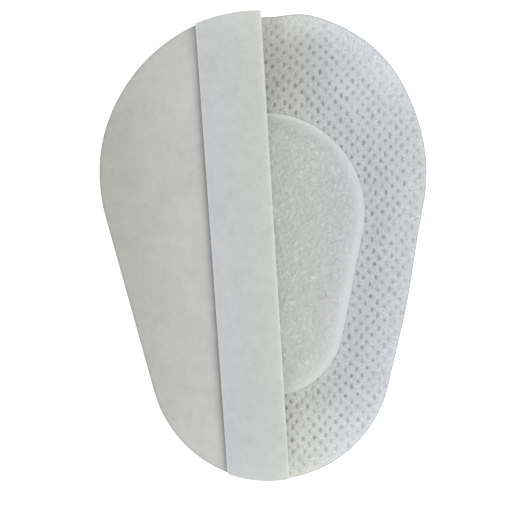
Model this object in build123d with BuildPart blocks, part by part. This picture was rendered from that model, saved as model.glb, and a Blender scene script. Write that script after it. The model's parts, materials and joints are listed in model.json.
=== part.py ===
"""Adhesive eye patch, lying skin side up, with half of its release liner still on.

An egg-shaped perforated fabric carries an adhesive coat and an absorbent pad. A paper
liner covers the left half and is folded back on itself at the middle, and that strip is
the tab by which it is peeled off. The other half of the liner has been taken away.

Frame, in millimetres: +Z out of the skin side, +Y towards the wide brow end, and the
origin on the fabric's outer face, in the middle of its length and width.
"""

import os
from math import cos, radians, sin

from build123d import *

# Outline of the patch: the hull of a brow circle and a smaller cheek circle.
WIDTH = 57.0
LENGTH = 82.0
BROW_RADIUS = WIDTH / 2
CHEEK_RADIUS = 21.0
BROW_Y = LENGTH / 2 - BROW_RADIUS
CHEEK_Y = CHEEK_RADIUS - LENGTH / 2

# Outline of the pad, built the same way and set a little towards the cheek end.
PAD_WIDTH = 34.8
PAD_LENGTH = 49.4
PAD_MIDDLE_Y = -1.8
PAD_BROW_RADIUS = PAD_WIDTH / 2
PAD_CHEEK_RADIUS = 13.0
PAD_BROW_Y = PAD_MIDDLE_Y + PAD_LENGTH / 2 - PAD_BROW_RADIUS
PAD_CHEEK_Y = PAD_MIDDLE_Y - PAD_LENGTH / 2 + PAD_CHEEK_RADIUS

# Thicknesses of the layers, from the outer face up.
FABRIC = 0.35
ADHESIVE = 0.05
WEB = 0.10
CORE = 1.75
PAPER = 0.12

SEAL = 1.1  # width of the rim where the pad's two webs are sealed together
CORE_ROUND = 1.1  # rounding of the core's upper edge
REST_GAP = 0.05  # between the liner and the adhesive it peels from
PAD_GAP = 0.08  # between the liner and the top of the pad

# Heights of the layers.
ADHESIVE_Z = FABRIC
BASE_Z = ADHESIVE_Z + ADHESIVE
CORE_Z = BASE_Z + WEB
PAD_TOP_Z = CORE_Z + CORE + WEB
LINER_LOW_Z = BASE_Z + REST_GAP
LINER_HIGH_Z = PAD_TOP_Z + PAD_GAP

# The fold runs nearly along Y. Around it, paper bends from the panel to the tab.
FOLD_X = 1.3
FOLD_TILT = 1.2  # degrees, turned from +Y towards -X
FOLD_GAP = 0.30  # between panel and tab at the fold
FOLD_RADIUS = PAPER + FOLD_GAP / 2
FOLD_Z = LINER_HIGH_Z + FOLD_RADIUS
TAB_OPENING = 3.0  # degrees that the tab stands off the panel

# Length of the tab from the fold to its free edge, at the brow and the cheek end.
TAB_BROW_END = 11.2
TAB_CHEEK_END = 10.4

# Where the liner's cross-section leaves the adhesive and where it reaches the pad's top,
# as distances from the fold.
LIFT_START = 28.0
LIFT_END = 19.0
LIFT_RADIUS = 30.0
TRIM = 60.0  # reach of the blanks that are trimmed to the outline

FOLD_ACROSS = Vector(cos(radians(FOLD_TILT)), sin(radians(FOLD_TILT)), 0)
FOLD_ALONG = Vector(-sin(radians(FOLD_TILT)), cos(radians(FOLD_TILT)), 0)


def egg(brow_radius, brow_y, cheek_radius, cheek_y, height=0.0):
    """Face in the shape of an egg, lying at a height."""
    with BuildSketch(Plane.XY.offset(height)) as outline:
        with Locations((0, brow_y)):
            Circle(brow_radius)
        with Locations((0, cheek_y)):
            Circle(cheek_radius)
        make_hull()
    return outline.sketch


def patch_outline(height=0.0):
    return egg(BROW_RADIUS, BROW_Y, CHEEK_RADIUS, CHEEK_Y, height)


def pad_outline(inset, height):
    return egg(
        PAD_BROW_RADIUS - inset, PAD_BROW_Y, PAD_CHEEK_RADIUS - inset, PAD_CHEEK_Y, height
    )


def trim_to_outline():
    """Keeps only what lies over the patch: the liner was cut with the same die."""
    extrude(patch_outline(), amount=TRIM, mode=Mode.INTERSECT)


def finish(builder, name):
    builder.part.label = name
    export_step(builder.part, f"parts/{name}.step")


os.makedirs("parts", exist_ok=True)

# The perforated fabric that everything is carried on.
with BuildPart() as backing_fabric:
    extrude(patch_outline(), amount=FABRIC)
finish(backing_fabric, "backing_fabric")

# The adhesive, coated over the whole of the fabric's skin side.
with BuildPart() as adhesive_coat:
    extrude(patch_outline(ADHESIVE_Z), amount=ADHESIVE)
finish(adhesive_coat, "adhesive_coat")

# The pad: a base web, a felt core with a rounded upper edge, and a facing web that is
# drawn over the core and sealed to the base web all round.
with BuildPart() as pad_base_web:
    extrude(pad_outline(0, BASE_Z), amount=WEB)
finish(pad_base_web, "pad_base_web")

with BuildPart() as pad_core:
    extrude(pad_outline(SEAL + WEB, CORE_Z), amount=CORE)
    fillet(pad_core.faces().sort_by(Axis.Z)[-1].edges(), CORE_ROUND)
finish(pad_core, "pad_core")

with BuildPart() as pad_facing_web:
    extrude(pad_outline(SEAL, CORE_Z), amount=CORE + WEB)
    fillet(pad_facing_web.faces().sort_by(Axis.Z)[-1].edges(), CORE_ROUND + WEB)
    extrude(pad_outline(0, CORE_Z), amount=WEB)
    add(pad_core.part, mode=Mode.SUBTRACT)
finish(pad_facing_web, "pad_facing_web")

# The release liner's panel: flat on the adhesive at its outer edge, then up and over the
# pad to the fold. It is straight along the fold, as bent paper is.
profile_plane = Plane(origin=(FOLD_X, 0, 0), x_dir=FOLD_ACROSS, z_dir=-FOLD_ALONG)
with BuildPart() as liner_panel:
    with BuildSketch(profile_plane) as panel_profile:
        with BuildLine():
            underside = FilletPolyline(
                (-TRIM, LINER_LOW_Z),
                (-LIFT_START, LINER_LOW_Z),
                (-LIFT_END, LINER_HIGH_Z),
                (0, LINER_HIGH_Z),
                radius=LIFT_RADIUS,
            )
            offset(underside, amount=PAPER, side=Side.LEFT)
        make_face()
    extrude(amount=TRIM, both=True)
    trim_to_outline()
finish(liner_panel, "liner_panel")

# The crease: the short bend that carries the paper from the panel round into the tab.
with BuildPart() as liner_crease:
    with BuildSketch(profile_plane) as crease_profile:
        with BuildLine():
            outer = CenterArc((0, FOLD_Z), FOLD_RADIUS, -90, 180 - TAB_OPENING)
            inner = CenterArc((0, FOLD_Z), FOLD_RADIUS - PAPER, -90, 180 - TAB_OPENING)
            Line(outer @ 0, inner @ 0)
            Line(outer @ 1, inner @ 1)
        make_face()
    extrude(amount=TRIM, both=True)
    trim_to_outline()
finish(liner_crease, "liner_crease")

# The tab: the strip folded back over the panel, standing a little open.
tab_plane = Plane(
    origin=(FOLD_X, 0, FOLD_Z),
    x_dir=FOLD_ACROSS * cos(radians(TAB_OPENING)) - Vector(0, 0, sin(radians(TAB_OPENING))),
    z_dir=FOLD_ACROSS * sin(radians(TAB_OPENING)) + Vector(0, 0, cos(radians(TAB_OPENING))),
)
free_edge_slope = (TAB_BROW_END - TAB_CHEEK_END) / LENGTH
free_edge_middle = (TAB_BROW_END + TAB_CHEEK_END) / 2
with BuildPart() as liner_tab:
    with BuildSketch(tab_plane.offset(FOLD_RADIUS - PAPER)) as tab_shape:
        with BuildLine():
            Polyline(
                (0, -TRIM),
                (0, TRIM),
                (-free_edge_middle - free_edge_slope * TRIM, TRIM),
                (-free_edge_middle + free_edge_slope * TRIM, -TRIM),
                close=True,
            )
        make_face()
    extrude(amount=PAPER)
    trim_to_outline()
finish(liner_tab, "liner_tab")
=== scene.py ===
"""The looks of an adhesive eye patch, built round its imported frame.

The patch lies skin side up. Lengths here are in millimetres in the frame's own axes, and
become metres when a mesh is made. Every layer is a real sheet with thickness, made from a
triangulated plan and from the heights of its two sides.
"""

import json
import math
from collections import namedtuple

import bmesh
import bpy
import numpy as np
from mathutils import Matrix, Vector
from mathutils.geometry import delaunay_2d_cdt


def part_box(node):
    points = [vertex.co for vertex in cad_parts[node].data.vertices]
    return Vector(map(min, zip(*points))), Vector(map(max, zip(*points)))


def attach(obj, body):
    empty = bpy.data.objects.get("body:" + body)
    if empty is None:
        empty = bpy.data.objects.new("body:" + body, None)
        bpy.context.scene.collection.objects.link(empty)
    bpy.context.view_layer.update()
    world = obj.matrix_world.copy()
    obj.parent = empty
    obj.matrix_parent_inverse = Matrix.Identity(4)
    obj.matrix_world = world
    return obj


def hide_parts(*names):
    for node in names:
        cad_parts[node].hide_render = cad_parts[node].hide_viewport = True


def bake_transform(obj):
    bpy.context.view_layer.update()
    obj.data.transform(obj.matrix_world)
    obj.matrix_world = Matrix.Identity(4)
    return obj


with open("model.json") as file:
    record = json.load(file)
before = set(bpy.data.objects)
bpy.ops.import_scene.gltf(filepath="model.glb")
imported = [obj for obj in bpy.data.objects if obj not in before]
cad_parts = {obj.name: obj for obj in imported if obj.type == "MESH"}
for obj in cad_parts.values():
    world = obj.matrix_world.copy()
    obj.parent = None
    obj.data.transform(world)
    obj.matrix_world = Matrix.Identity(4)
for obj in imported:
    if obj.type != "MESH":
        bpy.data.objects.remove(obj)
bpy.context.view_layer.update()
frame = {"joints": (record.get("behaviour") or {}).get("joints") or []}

MM = 0.001
SEED = 7

# ------------------------------------------------------------------ sizes from the frame

Egg = namedtuple("Egg", "brow_radius brow_y cheek_radius cheek_y")


def box_mm(node):
    return tuple(np.array(corner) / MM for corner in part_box(node))


def egg_of(node, cheek_radius):
    """Outline of a flat layer: the hull of its brow circle and of a smaller cheek circle."""
    low, high = box_mm(node)
    brow_radius = (high[0] - low[0]) / 2
    return Egg(brow_radius, high[1] - brow_radius, cheek_radius, low[1] + cheek_radius)


def joint(name):
    return next(j for j in frame["joints"] if j["name"] == name)


PATCH = egg_of("backing_fabric", cheek_radius=21.0)
PAD = egg_of("pad_base_web", cheek_radius=13.0)
FABRIC_TOP = box_mm("backing_fabric")[1][2]
ADHESIVE_TOP = box_mm("adhesive_coat")[1][2]
BASE_WEB_TOP = box_mm("pad_base_web")[1][2]
CORE_TOP = box_mm("pad_core")[1][2]
PAD_TOP = box_mm("pad_facing_web")[1][2]
LINER_LOW = box_mm("liner_panel")[0][2]
LINER_TOP = box_mm("liner_panel")[1][2]
PAPER = 0.12
LINER_HIGH = LINER_TOP - PAPER
WEB = PAD_TOP - CORE_TOP

FOLD_POINT = np.array(joint("tab_fold")["pos_m"]) / MM
FOLD_ALONG = np.array(joint("tab_fold")["axis"])[:2]
FOLD_ACROSS = np.array([FOLD_ALONG[1], -FOLD_ALONG[0]])

# ------------------------------------------------------------------ plain maths


def ease(t):
    t = np.clip(t, 0, 1)
    return t * t * (3 - 2 * t)


def bump(value, middle, width):
    """Smooth hump, 1 at its middle and a third of that a width away."""
    return np.exp(-(((value - middle) / width) ** 2))


def egg_distance(x, y, egg):
    """Distance outside the egg's edge, negative inside it."""
    span = egg.brow_y - egg.cheek_y
    lean = (egg.brow_radius - egg.cheek_radius) / span
    flank = math.sqrt(1 - lean * lean)
    side, down = np.abs(x), egg.brow_y - y
    along_flank = flank * down - lean * side
    by_brow = np.hypot(side, down) - egg.brow_radius
    by_cheek = np.hypot(side, down - span) - egg.cheek_radius
    by_flank = flank * side + lean * down - egg.brow_radius
    near_cheek = along_flank > flank * span
    return np.where(along_flank < 0, by_brow, np.where(near_cheek, by_cheek, by_flank))


def egg_outline(egg, spacing, grow=0.0):
    """Points round the egg's edge, evenly spaced, anticlockwise from the right flank's top."""
    lean = math.asin((egg.brow_radius - egg.cheek_radius) / (egg.brow_y - egg.cheek_y))
    corners = []
    for radius, centre_y, start, end in (
        (egg.brow_radius + grow, egg.brow_y, -lean, math.pi + lean),
        (egg.cheek_radius + grow, egg.cheek_y, math.pi + lean, 2 * math.pi - lean),
    ):
        angles = np.linspace(start, end, 400)
        arc = [radius * np.cos(angles), centre_y + radius * np.sin(angles)]
        corners.append(np.stack(arc, 1))
    line = np.concatenate([*corners, corners[0][:1]])
    walked = np.concatenate([[0], np.cumsum(np.hypot(*np.diff(line, axis=0).T))])
    stops = np.linspace(0, walked[-1], round(walked[-1] / spacing), endpoint=False)
    return np.stack([np.interp(stops, walked, line[:, k]) for k in (0, 1)], 1)


def ripples(x, y, length, seed, count=24, spread=0.25):
    """Smooth random relief, mostly between -1 and 1, with its crests about a length apart."""
    rng = np.random.default_rng(seed)
    total = np.zeros(np.shape(x))
    for angle, phase, stretch in zip(
        rng.uniform(0, math.pi, count),
        rng.uniform(0, 2 * math.pi, count),
        rng.uniform(1 - spread, 1 + spread, count),
    ):
        wave = 2 * math.pi / (length * stretch)
        total += np.cos(wave * (x * math.cos(angle) + y * math.sin(angle)) + phase)
    return total / math.sqrt(count)


def across_fold(x, y):
    """Distance from the fold, negative on the liner's side."""
    return (x - FOLD_POINT[0]) * FOLD_ACROSS[0] + (y - FOLD_POINT[1]) * FOLD_ACROSS[1]


# ------------------------------------------------------------------ shapes of the layers

PAD_SEAL = 0.6  # width of the pad's flat rim, where its two webs are sealed together
PAD_SHOULDER = 3.4  # width of the pad's round edge
PAD_DOME = 10.0
PAD_SHOULDER_SHARE = 0.82  # of the pad's full height. The dome adds the rest
FOLD_GROOVE = 0.2  # depth that the liner's fold presses into the pad
BROW_SHORT = 0.45
NOTCH_DEPTH = 1.0  # how far the bare brow edge is drawn in beside the fold
DROOP_START = 13.0  # distance from the fold at which the liner begins to come down
DROOP_BEND = 1.9
RIM_DROOP_WIDTH = 9.0
RIM_DROOP_SHARE = 0.35
PAPER_WAVE = 0.05
PAD_STEP = 6.0  # width round the pad over which the fabric drops under it
FABRIC_DOME = 0.7
FABRIC_WAVE = 0.15
HELD_HEIGHT = 0.6  # by the fold, where the paper still holds the bare fabric's edge up
CREST_HEIGHT = 1.4
VALLEY_DEPTH = 0.6
FABRIC_LEAST = 0.12
SHOULDER_STRETCH = 0.97
FLANK_STRETCH = 0.5


def liner_underside(x, y):
    """The paper is level by the fold and over the pad, and droops to the table beyond it.

    It bends one way only, as paper does, apart from its rim and a faint waviness.
    """
    away = -across_fold(x, y) - DROOP_START
    farthest = PATCH.brow_radius + FOLD_POINT[0] - DROOP_START
    bent = np.clip(away / farthest, 0, 1) ** DROOP_BEND
    rim = np.clip(1 + egg_distance(x, y, PATCH) / RIM_DROOP_WIDTH, 0, 1) ** 2
    drop = bent + (1 - bent) * rim * RIM_DROOP_SHARE * ease((away + 8) / 12)
    wave = PAPER_WAVE * ripples(x, y, 17, SEED + 1, 10) * ease(away / 6) * (1 - bent)
    return LINER_HIGH - (LINER_HIGH - LINER_LOW) * drop + np.maximum(wave, -0.02)


def fabric_rise(x, y):
    """Height of the fabric's outer face over the table.

    Under the liner the fabric sticks to the paper, and it dips under the pad. On the bare
    half it keeps a little of that lift, and falls back to the table at the rim.
    """
    fold = across_fold(x, y)
    inside = -egg_distance(x, y, PATCH)
    brow = ease((y - 20) / 9)
    cheek = ease((-y - 22) / 8)
    stuck = liner_underside(x, y) - LINER_LOW
    held = HELD_HEIGHT * bump(fold, 0, 8) * (brow + 0.5 * cheek)
    rim = np.maximum(ease(inside / 9), held)
    dome = FABRIC_DOME + FABRIC_WAVE * ripples(x, y, 19, SEED + 2, 12)
    crest = CREST_HEIGHT * bump(fold, 12, 5.5) * brow
    valley = VALLEY_DEPTH * bump(fold, 1.0, 3.5) * (brow + 0.15 * cheek)
    bare = np.maximum((dome + crest - valley) * rim, 0)
    bare_share = ease((fold + 7) / 7)
    off_pad = ease(egg_distance(x, y, PAD) / PAD_STEP)
    lifted = stuck * (1 - bare_share) + bare * bare_share
    return off_pad * np.maximum(lifted, FABRIC_LEAST)


def stack_pull(x, y):
    """Fabric and liner together are cut a little short at the brow, on the liner's side."""
    return -BROW_SHORT * ease((y - 14) / 16) * ease((6 - across_fold(x, y)) / 6)


def fabric_place(x, y):
    """Where a point of the fabric lies in plan, after the missing half of the liner was peeled.

    The brow edge beside the fold is drawn in, and the bare half's shoulder and flank are
    stretched outwards a little. The pad keeps its place.
    """
    fold = across_fold(x, y)
    near_edge = ease(1 + egg_distance(x, y, PATCH) / 11) * ease((y - 15) / 10)
    drawn = near_edge * ease((fold + 5) / 4) * (1 - ease((fold - 2.5) / 6.5))
    shoulder = SHOULDER_STRETCH * bump(y, 34.5, 8)
    flank = FLANK_STRETCH * bump(y, -11.5, 9.5)
    stretched = (shoulder + flank) * ease((x - 1) / 12) * ease(egg_distance(x, y, PAD) / 6)
    return np.column_stack([x + stretched, y + stack_pull(x, y) - NOTCH_DEPTH * drawn])


def pad_crown(x, y, inset):
    """Height of the facing over the base web: a thin sealed rim, a round shoulder and a dome.

    The fold of the liner presses a shallow groove into it.
    """
    body = inset - PAD_SEAL
    shoulder = np.sin(np.clip(body / PAD_SHOULDER, 0, 1) * math.pi / 2) ** 0.9
    dome = np.sin(np.clip(body / PAD_DOME, 0, 1) * math.pi / 2)
    pressed = FOLD_GROOVE * bump(across_fold(x, y), 0, 3.5) * shoulder
    full = PAD_TOP - BASE_WEB_TOP - 1.5 * WEB
    rise = PAD_SHOULDER_SHARE * shoulder + (1 - PAD_SHOULDER_SHARE) * dome
    return WEB + full * rise - pressed


# ------------------------------------------------------------------ meshes

INSIDE_LOOPS = 1  # which triangles delaunay_2d_cdt gives back


def add_mesh(name, points, faces, flat):
    """Object of points in millimetres. flat is where each point lies on the flat sheet."""
    mesh = bpy.data.meshes.new(name)
    mesh.from_pydata((np.asarray(points) * MM).tolist(), [], [tuple(f) for f in faces])
    mesh.validate()
    shell = bmesh.new()
    shell.from_mesh(mesh)
    bmesh.ops.recalc_face_normals(shell, faces=shell.faces)
    shell.to_mesh(mesh)
    shell.free()
    mesh.attributes.new("flat", "FLOAT_VECTOR", "POINT")
    mesh.attributes["flat"].data.foreach_set("vector", np.asarray(flat, np.float32).ravel())
    mesh.shade_smooth()
    mesh.set_sharp_from_angle(angle=math.radians(50))
    piece = bpy.data.objects.new(name, mesh)
    bpy.context.scene.collection.objects.link(piece)
    return piece


def mark(piece, name, values):
    """Gives each point of a piece a number that its material reads."""
    piece.data.attributes.new(name, "FLOAT", "POINT")
    piece.data.attributes[name].data.foreach_set("value", np.asarray(values, np.float32))


def triangulate(plan, loops):
    """Triangles over the plan's points, inside the loops and keeping the loops' edges."""
    edges = [(int(a), int(b)) for loop in loops for a, b in zip(loop, np.roll(loop, -1))]
    made = delaunay_2d_cdt([Vector(p) for p in plan.tolist()], edges, [], INSIDE_LOOPS, 1e-6)
    source = np.array([ids[0] for ids in made[3]])
    return source[np.array(made[2])]


def open_edges(faces):
    """Directed edges that only one triangle uses."""
    pairs = np.concatenate([faces[:, [0, 1]], faces[:, [1, 2]], faces[:, [2, 0]]])
    known = set(map(tuple, pairs.tolist()))
    return [pair for pair in map(tuple, pairs.tolist()) if pair[::-1] not in known]


def close_sheet(name, plan, faces, top, bottom):
    """Sheet between a top and a bottom height at each point of its plan."""
    count = len(plan)
    points = np.concatenate([np.column_stack([plan, top]), np.column_stack([plan, bottom])])
    walls = [(b, a, a + count, b + count) for a, b in open_edges(faces)]
    all_faces = [*faces.tolist(), *(faces[:, ::-1] + count).tolist(), *walls]
    flat = np.column_stack([np.tile(plan, (2, 1)), points[:, 2]])
    return add_mesh(name, points, all_faces, flat)


def close_grid(name, outer, inner, flat):
    """Sheet between two grids of points, walled all round."""
    rows, columns = outer.shape[:2]
    index = np.arange(rows * columns).reshape(rows, columns)
    quads = np.stack([index[:-1, :-1], index[1:, :-1], index[1:, 1:], index[:-1, 1:]], -1)
    quads = quads.reshape(-1, 4)
    border = np.concatenate([index[0, :-1], index[:-1, -1], index[-1, :0:-1], index[:0:-1, 0]])
    count = rows * columns
    walls = np.stack([border, np.roll(border, -1), np.roll(border, -1) + count, border + count], 1)
    faces = np.concatenate([quads, quads[:, ::-1] + count, walls])
    points = np.concatenate([outer.reshape(-1, 3), inner.reshape(-1, 3)])
    return add_mesh(name, points, faces, np.tile(flat.reshape(-1, 3), (2, 1)))


GRID_SHAKE = 0.15  # of the spacing


def hex_grid(egg, spacing, inset, seed):
    """Points on a slightly shaken triangular grid inside the egg."""
    rng = np.random.default_rng(seed)
    half_width = egg.brow_radius
    low, high = egg.cheek_y - egg.cheek_radius, egg.brow_y + egg.brow_radius
    rows = np.arange(low, high, spacing * math.sqrt(3) / 2)
    columns = np.arange(-half_width, half_width, spacing)
    y, x = np.meshgrid(rows, columns, indexing="ij")
    x = x + (np.arange(len(rows)) % 2)[:, None] * spacing / 2
    plan = np.column_stack([x.ravel(), y.ravel()])
    plan = plan + rng.uniform(-GRID_SHAKE, GRID_SHAKE, plan.shape) * spacing
    return plan[egg_distance(plan[:, 0], plan[:, 1], egg) < -inset]


def egg_plan(egg, spacing, seed, grow=0.0):
    """Plan and triangles of a whole egg-shaped sheet."""
    edge = egg_outline(egg, spacing, grow)
    plan = np.concatenate([edge, hex_grid(egg, spacing, 0.45 * spacing - grow, seed)])
    return plan, triangulate(plan, [np.arange(len(edge))])


# ------------------------------------------------------------------ perforations

HOLE_PITCH_X = 1.92
HOLE_PITCH_Y = 2.22
HOLE_ROW_TILT = 4.2  # degrees
HOLE_HALF_WIDTH = 0.16
HOLE_HALF_HEIGHT = 0.33
HOLE_CORNERS = 8
HOLE_OFFSET_X = 0.3
HOLE_ROWS, HOLE_COLUMNS = 45, 18  # on each side of the middle, more than the patch needs
HOLE_MARGIN = 0.75  # least distance from the outline to a hole's middle
HOLE_SHIFT = 0.10  # spread of the holes' middles about their even places
HOLE_SIZES = (0.6, 1.35)
HOLE_TURN = math.radians(9)
FABRIC_EDGE_GRID = 0.5

Holes = namedtuple("Holes", "middle half turn")


def make_holes():
    """Staggered rows of small upright ovals, a little uneven as punched fibres are."""
    rng = np.random.default_rng(SEED)
    middles = []
    slope = math.tan(math.radians(HOLE_ROW_TILT))
    for row in range(-HOLE_ROWS, HOLE_ROWS + 1):
        for column in range(-HOLE_COLUMNS, HOLE_COLUMNS + 1):
            x = (column + 0.5 * (row % 2)) * HOLE_PITCH_X + HOLE_OFFSET_X
            y = row * HOLE_PITCH_Y / 2 + x * slope
            if egg_distance(x, y, PATCH) < -HOLE_MARGIN:
                middles.append((x, y))
    count = len(middles)
    middle = np.array(middles) + rng.normal(0, HOLE_SHIFT, (count, 2))
    half = np.array([HOLE_HALF_WIDTH, HOLE_HALF_HEIGHT]) * rng.uniform(*HOLE_SIZES, (count, 2))
    return Holes(middle, half, rng.normal(0, HOLE_TURN, count))


HOLES = make_holes()


def hole_rings(grow):
    """Corners of every hole's oval, grown by a distance: one row of points after another."""
    angles = np.arange(HOLE_CORNERS) * 2 * math.pi / HOLE_CORNERS
    x = (HOLES.half[:, :1] + grow) * np.cos(angles)
    y = (HOLES.half[:, 1:] + grow) * np.sin(angles)
    cos, sin = np.cos(HOLES.turn)[:, None], np.sin(HOLES.turn)[:, None]
    ring_x = HOLES.middle[:, :1] + x * cos - y * sin
    ring_y = HOLES.middle[:, 1:] + x * sin + y * cos
    return np.stack([ring_x.ravel(), ring_y.ravel()], 1)


def between_holes():
    """Middles of the strands between the holes: one beside each hole and two above it."""
    slope = math.tan(math.radians(HOLE_ROW_TILT))
    steps = [(0.5, 0), (0.25, 0.25), (-0.25, 0.25)]
    moved = [
        HOLES.middle + (dx * HOLE_PITCH_X, dy * HOLE_PITCH_Y + dx * HOLE_PITCH_X * slope)
        for dx, dy in steps
    ]
    plan = np.concatenate(moved)
    return plan[egg_distance(plan[:, 0], plan[:, 1], PATCH) < -0.35]


FABRIC_FACE = FABRIC_TOP - 0.02  # a little under the CAD's, to leave room for the film
STRAND_EDGE = 0.17  # height at which the face turns down into a hole


def make_backing():
    """Fabric with real holes. Its face slopes down into each, and meets the underside there."""
    edge = egg_outline(PATCH, FABRIC_EDGE_GRID)
    edge_loop = np.arange(len(edge))
    rims = hole_rings(0)
    shared = len(rims)
    rim_loops = np.arange(shared).reshape(-1, HOLE_CORNERS)
    strands = between_holes()
    plans, heights, faces, edge_starts = [rims], [np.zeros(shared)], [], []
    for ring_grow, ring_height, open_height in ((0.15, STRAND_EDGE, FABRIC_FACE), (0.2, 0, 0)):
        start = sum(map(len, plans))
        edge_starts.append(start)
        side = [edge, hole_rings(ring_grow), strands]
        plans.extend(side)
        for part, height in zip(side, (open_height, ring_height, open_height)):
            heights.append(np.full(len(part), float(height)))
        found = triangulate(np.concatenate([rims, *side]), [*rim_loops, shared + edge_loop])
        hole = np.where(found < shared, found // HOLE_CORNERS, -1 - found)
        over_hole = (hole[:, 0] == hole[:, 1]) & (hole[:, 1] == hole[:, 2])
        found = found[~over_hole]
        faces.append(np.where(found < shared, found, found - shared + start))
    top, bottom = (edge_loop + start for start in edge_starts)
    walls = np.stack([np.roll(top, -1), top, bottom, np.roll(bottom, -1)], 1)
    plan, height = np.concatenate(plans), np.concatenate(heights)
    x, y = plan.T
    points = np.column_stack([fabric_place(x, y), fabric_rise(x, y) + height])
    all_faces = [*faces[0].tolist(), *faces[1][:, ::-1].tolist(), *walls.tolist()]
    flat = np.column_stack([plan, height])
    piece = add_mesh("backing_fabric_sheet", points, all_faces, flat)
    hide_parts("backing_fabric")
    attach(piece, "patch")
    return piece


ADHESIVE_FILM = 0.03
HOLE_DEPTHS = (0.45, 1.0)  # how deep the film's dips are, and how much painted shade they get
ADHESIVE_FACE = ADHESIVE_TOP - 0.005
# painted shade line along the fabric's cut edge
CUT_EDGE_SHADE = 0.6
RING_GRID = 0.3  # spacing of the film's points round the pad


def adhesive_painted_light(x, y):
    """How strongly the painted shade in the holes shows at each point, and the painted light on the
    adhesive there.

    The rim gets a painted highlight and the holes' painted shade fades there, most of all at the
    brow. The cheek end is painted lighter too, and beside the fold the skin side gets a painted
    shade.
    """
    fold, inside = across_fold(x, y), -egg_distance(x, y, PATCH)
    rim = 1 - ease((inside - 0.5) / 6)
    brink = 1 - ease((inside - 0.3) / 3.2)
    painted_brow_glare = rim * ease((y - 20) / 10) * ease((fold - 2) / 4)
    shoulder = ease((y - 14) / 12) * ease((fold - 9) / 8)
    plain = (1 - 0.55 * rim) * (1 - 0.7 * painted_brow_glare) * (1 - 0.25 * shoulder)
    painted_fold_shade = ease((y - 14) / 10) * bump(fold, 0, 7) * (1 - painted_brow_glare)
    painted_brightening = ease((-y - 22) / 14) + painted_brow_glare + 0.4 * rim + 0.35 * shoulder
    painted_brightening += brink * (0.2 + 0.65 * ease((-y - 4) / 18)) * (1 - ease((y - 10) / 14))
    return plain, painted_brightening - painted_fold_shade


def make_adhesive():
    """Film that dips into every hole and bridges it, with painted shade in each dip, so that the
    holes show as soft dots.
    """
    edge = egg_outline(PATCH, FABRIC_EDGE_GRID)
    rng = np.random.default_rng(SEED + 11)
    depth = rng.uniform(*HOLE_DEPTHS, len(HOLES.middle))
    ring_depth = np.repeat(depth, HOLE_CORNERS)
    strands = between_holes()
    parts = [  # points in plan, how far the film dips there, and how much painted shade it gets
        (edge, 0.04, 1.0),
        (egg_outline(PATCH, FABRIC_EDGE_GRID, -0.3), 0, 0),
        # painted shade round the pad's edge
        (egg_outline(PAD, RING_GRID, 0.04), 0.03, 0.3),
        (egg_outline(PAD, RING_GRID, 0.3), 0, 0),
        (egg_outline(PAD, RING_GRID, -0.25), 0, 0),
        (HOLES.middle, 0.05 + 0.11 * depth, depth),
        (hole_rings(0), 0.04 + 0.05 * ring_depth, 0.85 * ring_depth),
        (hole_rings(0.2), -0.02, 0.1),
        (strands, rng.uniform(0, 0.02, len(strands)), 0),
    ]
    plan = np.concatenate([part[0] for part in parts])
    dip, painted_shade = (
        np.concatenate([np.broadcast_to(part[k], len(part[0])) for part in parts]) for k in (1, 2)
    )
    faces = triangulate(plan, [np.arange(len(edge))])
    x, y = plan.T
    top = fabric_rise(x, y) + ADHESIVE_FACE - dip
    piece = close_sheet("adhesive_film", fabric_place(x, y), faces, top, top - ADHESIVE_FILM)
    plain, painted_light = adhesive_painted_light(x, y)
    # the cut edge gets a painted shade line
    plain[: len(edge)] = CUT_EDGE_SHADE
    mark(piece, "painted_shade", np.tile(painted_shade * plain, 2))
    mark(piece, "painted_light", np.tile(painted_light, 2))
    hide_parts("adhesive_coat")
    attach(piece, "patch")
    return piece


def egg_area(egg):
    """Area of the egg in square metres, from its own outline."""
    x, y = (egg_outline(egg, 0.2) * MM).T
    return abs(np.sum(x * np.roll(y, -1) - y * np.roll(x, -1))) / 2


def egg_flat(egg):
    """Width and length of the egg in metres."""
    length = egg.brow_y + egg.brow_radius - egg.cheek_y + egg.cheek_radius
    return 2 * egg.brow_radius * MM, length * MM


PATCH_FLAT, PATCH_AREA = egg_flat(PATCH), egg_area(PATCH)

# ------------------------------------------------------------------ pad

PAD_GRID = 0.21
FELT_GRID = 0.6
BASE_GRID = 0.7
FELT_LUMP = 0.04
FELT_GAP = 0.16  # room under the facing for its crinkles
TIGHT_WIDTH = 2.3
LINE_WIDTH = 0.4
LINE_RISE, GRAIN_RISE, COARSE_RISE = 0.066, 0.035, 0.03  # heights of the three crinkles
CRINKLE_SINK = 0.09  # how far the crinkled facing sits under its smooth height
SMOOTH_RIM = 0.8  # width of the pad's edge where the web is pulled tight and has no crinkle


def narrow_end(y):
    """How far towards the pad's narrow end, where the facing is pulled tighter."""
    return ease((-y - 6) / 12)


def pad_crinkle(x, y, inset):
    """Short curling wrinkles in the facing, shallow, and none at the tight rim."""
    line = 1 - 2 * np.minimum(np.abs(ripples(x, y, 2.1, SEED + 3, 60, 0.4)) / LINE_WIDTH, 1)
    grain = ripples(x, y, 0.85, SEED + 12, 40, 0.35)
    coarse = ripples(x, y, 3.4, SEED + 4, 20)
    share = ease((inset - SMOOTH_RIM) / 2.2) * (1 - 0.3 * narrow_end(y))
    return share * (LINE_RISE * line + GRAIN_RISE * grain + COARSE_RISE * coarse - CRINKLE_SINK)


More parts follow.
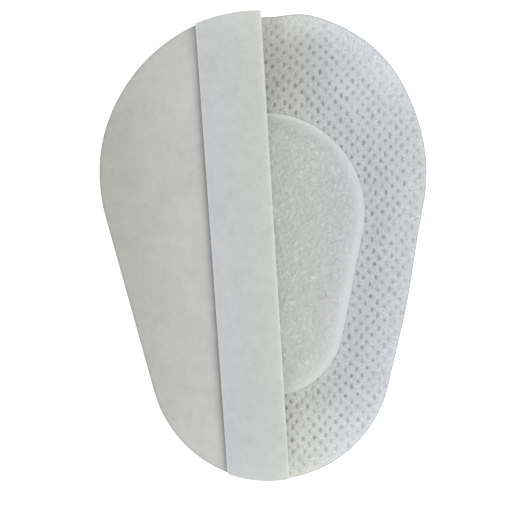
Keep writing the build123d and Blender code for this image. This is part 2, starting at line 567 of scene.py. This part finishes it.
def make_pad_facing():
    plan, faces = egg_plan(PAD, PAD_GRID, SEED + 5)
    x, y = plan.T
    inset = np.maximum(-egg_distance(x, y, PAD), 0)
    top = BASE_WEB_TOP + pad_crown(x, y, inset) + pad_crinkle(x, y, inset)
    piece = close_sheet("pad_facing", plan, faces, top, top - WEB)
    slack = ease(inset / TIGHT_WIDTH) * (1 - 0.15 * narrow_end(y))
    mark(piece, "tight", np.tile(1 - slack, 2))
    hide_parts("pad_facing_web")
    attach(piece, "patch")
    return piece


def make_pad_core():
    """Felt block that fills the space under the facing, with a slightly lumpy surface."""
    inset_core = box_mm("pad_core")[0][0] - box_mm("pad_base_web")[0][0]
    core = Egg(PAD.brow_radius - inset_core, PAD.brow_y, PAD.cheek_radius - inset_core, PAD.cheek_y)
    plan, faces = egg_plan(core, FELT_GRID, SEED + 6)
    x, y = plan.T
    inset = -egg_distance(x, y, PAD)
    lumps = FELT_LUMP * ripples(x, y, 2.2, SEED + 7, 16)
    under_web = BASE_WEB_TOP + pad_crown(x, y, inset) - WEB - FELT_GAP
    top = under_web + np.minimum(lumps, FELT_LUMP)
    piece = close_sheet("pad_felt_core", plan, faces, top, np.full(len(plan), BASE_WEB_TOP))
    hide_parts("pad_core")
    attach(piece, "patch")
    return piece


def make_pad_base():
    plan, faces = egg_plan(PAD, BASE_GRID, SEED + 8)
    top = np.full(len(plan), BASE_WEB_TOP)
    piece = close_sheet("pad_base", plan, faces, top, np.full(len(plan), ADHESIVE_TOP))
    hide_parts("pad_base_web")
    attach(piece, "patch")
    return piece


# ------------------------------------------------------------------ release liner

PANEL_GRID = 0.55
FOLD_RADIUS = FOLD_POINT[2] - LINER_HIGH  # of the fold's outer side
TAB_OPENING = math.radians(3.0)
TAB_BROW_END = 11.2
TAB_CHEEK_END = 10.4
TAB_CURL = 0.08  # the free edge bends up a little
TAB_WAVE = 0.08
TAB_PROUD = 0.15  # how far the folded strip's ends stand over the die-cut edge


def from_fold(across, along):
    """Plan position of distances across and along the fold."""
    across, along = np.asarray(across)[..., None], np.asarray(along)[..., None]
    return FOLD_POINT[:2] + across * FOLD_ACROSS + along * FOLD_ALONG


def outline_crossing(across, side, grow=0.0):
    """Distance along the fold at which a line parallel to it leaves the patch's outline."""
    near, far = np.zeros(len(across)), np.full(len(across), PATCH_FLAT[1] / MM)
    for _ in range(40):
        middle = (near + far) / 2
        inside = egg_distance(*from_fold(across, side * middle).T, PATCH) < grow
        near, far = np.where(inside, middle, near), np.where(inside, far, middle)
    return side * near


def make_liner_panel():
    edge = egg_outline(PATCH, PANEL_GRID)
    edge = edge[across_fold(*edge.T) < -0.3 * PANEL_GRID]
    cheek, brow = (outline_crossing(np.zeros(1), side)[0] for side in (-1, 1))
    steps = np.linspace(cheek, brow, round((brow - cheek) / PANEL_GRID) + 1)
    cut = from_fold(0 * steps, steps)
    loop = np.concatenate([edge, cut])
    inner = hex_grid(PATCH, PANEL_GRID, 0.45 * PANEL_GRID, SEED + 9)
    inner = inner[across_fold(*inner.T) < -0.45 * PANEL_GRID]
    plan = np.concatenate([loop, inner])
    faces = triangulate(plan, [np.arange(len(loop))])
    under = liner_underside(*plan.T)
    placed = np.column_stack([plan[:, 0], plan[:, 1] + stack_pull(*plan.T)])
    piece = close_sheet("liner_panel_sheet", placed, faces, under + PAPER, under)
    y = plan[:, 1]
    # painted light: the panel is painted lighter towards the brow and cheek ends, and its cut edge
    # gets a painted shade line
    painted_brightening = 0.35 * ease((y - 12) / 24) + 0.4 * ease((-y - 20) / 16)
    cut_edge = np.arange(len(plan)) < len(edge)
    mark(piece, "painted_light", np.tile(painted_brightening - 1.2 * cut_edge, 2))
    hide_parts("liner_panel")
    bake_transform(piece)
    x, y = (plan * MM).T
    return piece


def make_liner_fold():
    """The crease and the tab: one strip, from the panel round the bend to its free edge."""
    radius = FOLD_RADIUS - PAPER / 2
    cos, sin = math.cos(TAB_OPENING), math.sin(TAB_OPENING)
    bend = np.linspace(0, math.pi - TAB_OPENING, 12, endpoint=False)[:, None]
    reach = np.linspace(0, 1, 32)[:, None]
    share = np.linspace(0, 1, 160)[None, :]
    length = TAB_BROW_END + (TAB_CHEEK_END - TAB_BROW_END) * share
    wave = ripples(PATCH_FLAT[1] / MM * share, 0 * share, 31, SEED + 10, 6)
    lift = reach**2 * (TAB_CURL + TAB_WAVE * wave)
    level = 0 * share
    across = np.concatenate([radius * np.sin(bend) + level, radius * sin - reach * length * cos])
    height = np.concatenate(
        [-radius * np.cos(bend) + level, radius * cos + reach * length * sin + lift]
    )
    walked = np.concatenate([radius * bend + level, radius * bend[-1] + reach * length])
    proud = np.concatenate([0 * bend, TAB_PROUD * reach])[:, 0]
    brow = outline_crossing(across[:, 0], 1, proud)[:, None] - BROW_SHORT
    cheek = outline_crossing(across[:, -1], -1, proud)[:, None]
    along = brow + (cheek - brow) * share
    step_across, step_height = np.gradient(across, axis=0), np.gradient(height, axis=0)
    half = PAPER / 2 / np.hypot(step_across, step_height)
    sides = [
        np.concatenate(
            [
                from_fold(across + side * half * step_height, along),
                (FOLD_POINT[2] + height - side * half * step_across)[..., None],
            ],
            axis=-1,
        )
        for side in (1, -1)
    ]
    flat = np.concatenate([from_fold(walked, along), 0 * walked[..., None]], axis=-1)
    piece = close_grid("liner_fold_and_tab", *sides, flat)
    # painted highlights along the fold, where they also stand for some crease whitening, on the
    # tab's free edge, and towards the tab's ends
    free_edge = np.concatenate([0 * bend + level, bump((1 - reach) * length, 0, 0.2)])
    crease = 0.7 * bump(walked, 0.5, 0.35) + 0.25 * bump(walked, 0, 1.6)
    tips = np.clip((along - 31.5) / 9, 0, 1) ** 1.3 + np.clip((-along - 33) / 7, 0, 1) ** 1.3
    mark(piece, "painted_light", np.tile((crease + 0.7 * free_edge + 0.5 * tips).ravel(), 2))
    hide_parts("liner_crease", "liner_tab")
    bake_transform(piece)
    return piece


# ------------------------------------------------------------------ materials


class Surface:
    """A material's nodes, with short ways to add them. Sockets and plain values both join."""

    def __init__(self, name, roughness, **constants):
        self.material = bpy.data.materials.new(name)
        self.material.use_nodes = True
        self.tree = self.material.node_tree
        self.shader = next(n for n in self.tree.nodes if n.type == "BSDF_PRINCIPLED")
        self.join(roughness, self.shader.inputs["Roughness"])
        for socket, value in constants.items():
            self.shader.inputs[socket.replace("_", " ")].default_value = value

    def join(self, value, socket):
        if isinstance(value, bpy.types.NodeSocket):
            self.tree.links.new(value, socket)
        else:
            socket.default_value = value

    def node(self, kind, output, inputs, **settings):
        made = self.tree.nodes.new(kind)
        for key, value in settings.items():
            setattr(made, key, value)
        for key, value in inputs.items():
            self.join(value, made.inputs[key])
        return made.outputs[output]

    def given(self, attribute):
        output = "Vector" if attribute == "flat" else "Fac"
        return self.node("ShaderNodeAttribute", output, {}, attribute_name=attribute)

    def across(self, low, high, *colours):
        """Colour that changes in even steps along the sheet's width, between two places on it."""
        split = self.node("ShaderNodeSeparateXYZ", "X", {"Vector": self.given("flat")})
        ramp = self.tree.nodes.new("ShaderNodeValToRGB")
        self.join(self.contrast(split, low, high), ramp.inputs[0])
        stops = ramp.color_ramp.elements
        while len(stops) < len(colours):
            stops.new(0.5)
        for index, colour in enumerate(colours):
            stops[index].position = index / (len(colours) - 1)
            stops[index].color = (*colour, 1.0)
        return ramp.outputs["Color"]

    def noise(self, size, detail=2.0, roughness=0.5, stretch=(1, 1, 1), turn=0.0, warp=0.0):
        """Noise on the flat sheet whose blots are about size millimetres across."""
        place = self.node(
            "ShaderNodeMapping",
            "Vector",
            {
                "Vector": self.given("flat"),
                "Rotation": (0, 0, math.radians(turn)),
                "Scale": tuple(s / size for s in stretch),
            },
        )
        inputs = {"Vector": place, "Scale": 1.0, "Detail": detail, "Roughness": roughness}
        return self.node("ShaderNodeTexNoise", "Fac", {**inputs, "Distortion": warp})

    def lines(self, size, width, **noise):
        """Thin lines that wander between a noise's blots, 1 on a line and 0 off it."""
        middle = self.math("ABSOLUTE", self.math("SUBTRACT", self.noise(size, **noise), 0.5))
        return self.contrast(middle, width, 0.0)

    def specks(self, size):
        """Sparse bright points: 1 on them and 0.5 elsewhere."""
        points = self.contrast(self.noise(size), 0.64, 0.72)
        return self.math("MULTIPLY_ADD", points, 0.5, 0.5)

    def math(self, operation, a, b=0.0, c=0.0):
        made = self.tree.nodes.new("ShaderNodeMath")
        made.operation = operation
        for value, socket in zip((a, b, c), made.inputs):
            self.join(value, socket)
        return made.outputs[0]

    def blend(self, share, low, high):
        """Colour between two, by a share."""
        low, high = ((*c, 1.0) if isinstance(c, tuple) else c for c in (low, high))
        made = self.tree.nodes.new("ShaderNodeMix")
        made.data_type = "RGBA"
        for value, socket in ((share, 0), (low, 6), (high, 7)):
            self.join(value, made.inputs[socket])
        return made.outputs[2]

    def contrast(self, value, low, high):
        """Stretches a value so that low becomes 0 and high becomes 1."""
        inputs = {"Value": value, "From Min": low, "From Max": high}
        return self.node("ShaderNodeMapRange", "Result", inputs)

    def scaled(self, colour, *factors):
        """Colour made lighter or darker by each (value, strength) about the value 0.5."""
        gain = 1.0
        for value, strength in factors:
            step = self.math("MULTIPLY_ADD", value, strength, 1 - strength / 2)
            gain = self.math("MULTIPLY", step, gain)
        made = self.tree.nodes.new("ShaderNodeVectorMath")
        made.operation = "SCALE"
        self.join(colour, made.inputs[0])
        self.join(gain, made.inputs["Scale"])
        return made.outputs[0]

    def finish(self, colour, height=None, depth=0.0):
        """Sets the colour, and the fine relief of a depth in millimetres."""
        self.join(colour, self.shader.inputs["Base Color"])
        if height is not None:
            inputs = {"Height": height, "Distance": depth * MM, "Strength": 1.0}
            self.join(self.node("ShaderNodeBump", "Normal", inputs), self.shader.inputs["Normal"])
        return self.material


CREASE_CONTRAST = 0.22
WARM_FOLD_SHADE = (0.92, 0.96, 0.89)  # warm painted shade beside the fold
COOL_LIT_SIDE = (0.97, 0.98, 1.03)  # cool painted light at the pad's side
# colour of the painted shade down in the holes
HOLE_SHADE = (0.25, 0.255, 0.255)


def paper():
    """Smooth siliconed paper with painted light: a painted highlight along the fold, which also
    stands for some crease whitening, painted highlights with some whiter cut fibres on the tab's
    free edge and towards the ends, and a painted shade line along the panel's cut edge.

    It has a faint cloudy formation and a satin face. Across its width it has a darker, warm painted
    shade far from the fold, and cool tints of the light by the fold.
    """
    surface = Surface("liner_paper", 0.6, Specular_IOR_Level=0.35)
    formation = surface.noise(1.9, 6, 0.75, warp=0.3)
    fibre = surface.noise(0.35, 3, 0.6)
    cloudy = surface.noise(7, 4, 0.65, warp=0.8)
    rubbed = surface.lines(5.0, 0.02, detail=4, roughness=0.7, warp=0.5)
    warm, even, green, cool = (
        (0.425, 0.425, 0.383), (0.503, 0.503, 0.488), (0.520, 0.535, 0.488), (0.484, 0.490, 0.518)
    )
    # tint across the width: a darker, warm painted shade far from the fold, and greenish and cool
    # tints of the light by the fold and on the tab
    tint = surface.across(FOLD_POINT[0] - 29, FOLD_POINT[0] + 13, warm, even, green, cool)
    painted_light = surface.math("ADD", surface.given("painted_light"), 0.5)
    clouds = ((formation, 0.26), (fibre, 0.06), (cloudy, 0.16))
    colour = surface.scaled(tint, *clouds, (rubbed, -0.05), (painted_light, 0.16))
    relief = surface.math("ADD", surface.math("MULTIPLY", formation, 2.0), fibre)
    return surface.finish(colour, relief, depth=0.012)


def nonwoven(name, base, fibre_depth=0.03, whiter=0.0):
    """Web of fine fibres that lie in every direction, whiter if asked where it is tight, tinted
    with a warm painted shade by the fold and a cool painted light at the pad's side.
    """
    surface = Surface(name, 0.85, Specular_IOR_Level=0.3, Sheen_Weight=0.15)
    strands = [
        surface.noise(1.1, 3, 0.7, stretch=(9, 0.9, 1), turn=turn, warp=0.6)
        for turn in (8, 67, 118, 163)
    ]
    web = strands[0]
    for strand in strands[1:]:
        web = surface.math("MAXIMUM", web, strand)
    patchy = surface.noise(5, 3, 0.6)
    warm, cool = (tuple(c * f for c, f in zip(base, tone)) for tone in (WARM_FOLD_SHADE, COOL_LIT_SIDE))
    tint = surface.across(FOLD_POINT[0], PAD.brow_radius, warm, base, cool)
    factors = [(web, 0.24), (patchy, 0.10)]
    if whiter:
        tight = surface.given("tight")
        pulled_flat = surface.math("MULTIPLY", tight, 0.85)
        creases = surface.math("MAXIMUM", surface.lines(1.25, 0.04, warp=0.9), pulled_flat)
        web = surface.math("MULTIPLY_ADD", creases, 0.55, web)
        factors += [(surface.math("ADD", tight, 0.5), whiter), (creases, CREASE_CONTRAST)]
        factors.append((surface.specks(0.4), 0.16))
    colour = surface.scaled(tint, *factors)
    return surface.finish(colour, web, depth=fibre_depth)


def adhesive():
    """Thin acrylic adhesive on the web: a soft uneven sheen, painted shade down in the holes, and
    painted glints.
    """
    surface = Surface("adhesive_on_web", 0.5, Specular_IOR_Level=0.5)
    painted_shade = surface.given("painted_shade")
    web = surface.contrast(surface.noise(0.34, 2, 0.7, warp=0.4), 0.3, 0.7)
    painted_light = surface.math("ADD", surface.given("painted_light"), 0.5)
    patchy = surface.noise(6, 3, 0.6)
    # tint across the width: a darker, warm painted shade beside the fold, and cool tints of the
    # light towards the rim
    tint = surface.across(
        FOLD_POINT[0], PATCH.brow_radius,
        (0.528, 0.530, 0.488), (0.535, 0.545, 0.545), (0.515, 0.535, 0.575), (0.540, 0.565, 0.565),
    )
    dark = surface.blend(painted_shade, tint, HOLE_SHADE)
    glints = surface.specks(0.36)
    factors = [(web, 0.32), (patchy, 0.10), (painted_light, 0.12), (glints, 0.55)]
    colour = surface.scaled(dark, *factors)
    gloss = surface.math("MULTIPLY_ADD", web, 0.2, 0.4)
    surface.join(gloss, surface.shader.inputs["Roughness"])
    return surface.finish(colour, web, depth=0.05)


def dress(piece, material):
    piece.data.materials.clear()
    piece.data.materials.append(material)


def light_table():
    """White glass lit from below, so that nothing on it throws a dark shadow."""
    surface = Surface("light_table", 0.9, Emission_Color=(1, 1, 1, 1), Emission_Strength=0.5)
    return surface.finish((0.95, 0.95, 0.95, 1.0))


# ------------------------------------------------------------------ floor, camera and light

VIEW_SIDE = 91.07  # side of the square that the camera sees at the table
VIEW_MIDDLE = (-0.99, -2.89)
VIEW_TURN = 2.31  # degrees
CAMERA_HEIGHT = 400.0
SENSOR = 36.0


def make_floor():
    bpy.ops.mesh.primitive_plane_add(size=3.0, location=(0, 0, -0.01 * MM))
    floor = bpy.context.object
    floor.name = "floor"
    dress(floor, light_table())


def make_camera():
    camera_data = bpy.data.cameras.new("camera")
    camera_data.sensor_width = SENSOR
    camera_data.lens = SENSOR * CAMERA_HEIGHT / VIEW_SIDE
    camera_data.clip_start = 0.01
    camera = bpy.data.objects.new("camera", camera_data)
    camera.location = (VIEW_MIDDLE[0] * MM, VIEW_MIDDLE[1] * MM, CAMERA_HEIGHT * MM)
    camera.rotation_euler = (0, 0, math.radians(-VIEW_TURN))
    bpy.context.scene.collection.objects.link(camera)
    bpy.context.scene.camera = camera


def make_light(name, place, size, power, colour):
    """Square soft light at a place in metres, aimed at the patch."""
    data = bpy.data.lights.new(name, "AREA")
    data.size = size
    data.energy = power
    data.color = colour
    light = bpy.data.objects.new(name, data)
    light.location = place
    light.rotation_euler = (-Vector(place)).to_track_quat("-Z", "Y").to_euler()
    bpy.context.scene.collection.objects.link(light)


def make_world(strength):
    world = bpy.data.worlds.new("studio")
    bpy.context.scene.world = world
    world.use_nodes = True
    background = world.node_tree.nodes["Background"]
    background.inputs["Color"].default_value = (1.0, 0.99, 0.975, 1)
    background.inputs["Strength"].default_value = strength


# ------------------------------------------------------------------ the scene

FABRIC_WHITE = (0.56, 0.565, 0.565)
WEB_WHITE = (0.580, 0.586, 0.575)
FELT_WHITE = (0.60, 0.60, 0.59)

dress(make_backing(), nonwoven("backing_nonwoven", FABRIC_WHITE))
dress(make_adhesive(), adhesive())
dress(make_pad_base(), nonwoven("pad_base_web", WEB_WHITE))
dress(make_pad_core(), nonwoven("pad_felt", FELT_WHITE, fibre_depth=0.08))
dress(make_pad_facing(), nonwoven("pad_facing_web", WEB_WHITE, fibre_depth=0.09, whiter=0.04))
liner_paper = paper()
dress(make_liner_panel(), liner_paper)
dress(make_liner_fold(), liner_paper)

make_floor()
make_camera()
make_world(strength=0.64)
make_light("window", (0.52, -0.24, 0.95), size=1.15, power=8.35, colour=(0.94, 0.97, 1.0))
bpy.context.scene.view_settings.view_transform = "Standard"
